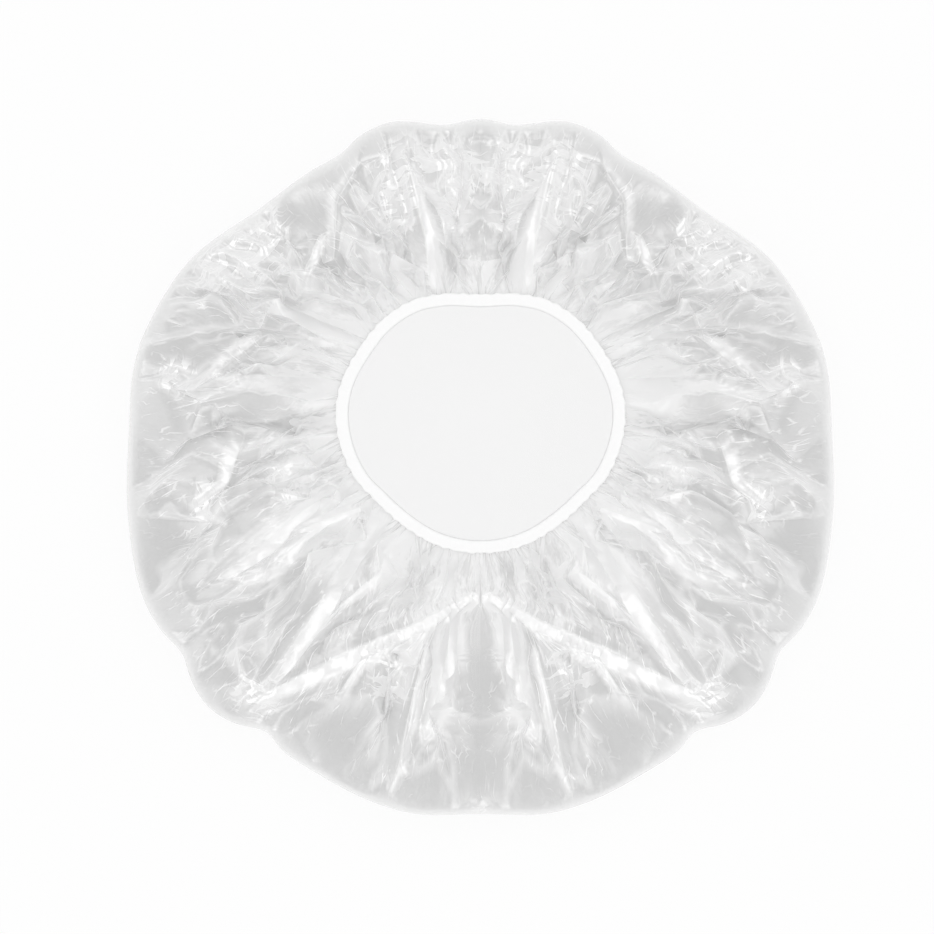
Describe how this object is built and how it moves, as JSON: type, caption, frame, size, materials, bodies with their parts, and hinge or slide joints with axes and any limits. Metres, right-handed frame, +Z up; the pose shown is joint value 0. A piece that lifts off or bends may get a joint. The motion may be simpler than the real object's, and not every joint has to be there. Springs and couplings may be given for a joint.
{
  "type": "shower cap",
  "caption": "Clear film shower cap lying relaxed on its crown, its edge gathered by an elastic in a white binding round the head opening.",
  "frame": {"origin": "middle of the outline seen from above, on the flat outer face of the crown", "axes": "+Z up, out of the head opening; +Y towards the side of the outline that the opening lies nearer to; +X to the right of that"},
  "size_m": [0.301, 0.2966, 0.0421],
  "materials": {
    "clear_film": "clear, glossy, crinkled",
    "white_binding": "matt",
    "elastic": "matt"
  },
  "bodies": {
    "crown": {"cap_film": "clear_film"},
    "hem": {"edge_binding": "white_binding", "elastic_band": "elastic"}
  },
  "joints": [
    {"name": "hem_lift", "type": "slide", "parent": "crown", "child": "hem", "axis": [0, 0, 1], "range_m": [-0.022, 0.03], "stiffness_N_per_m": 2, "deforming": ["cap_film"]}
  ]
}
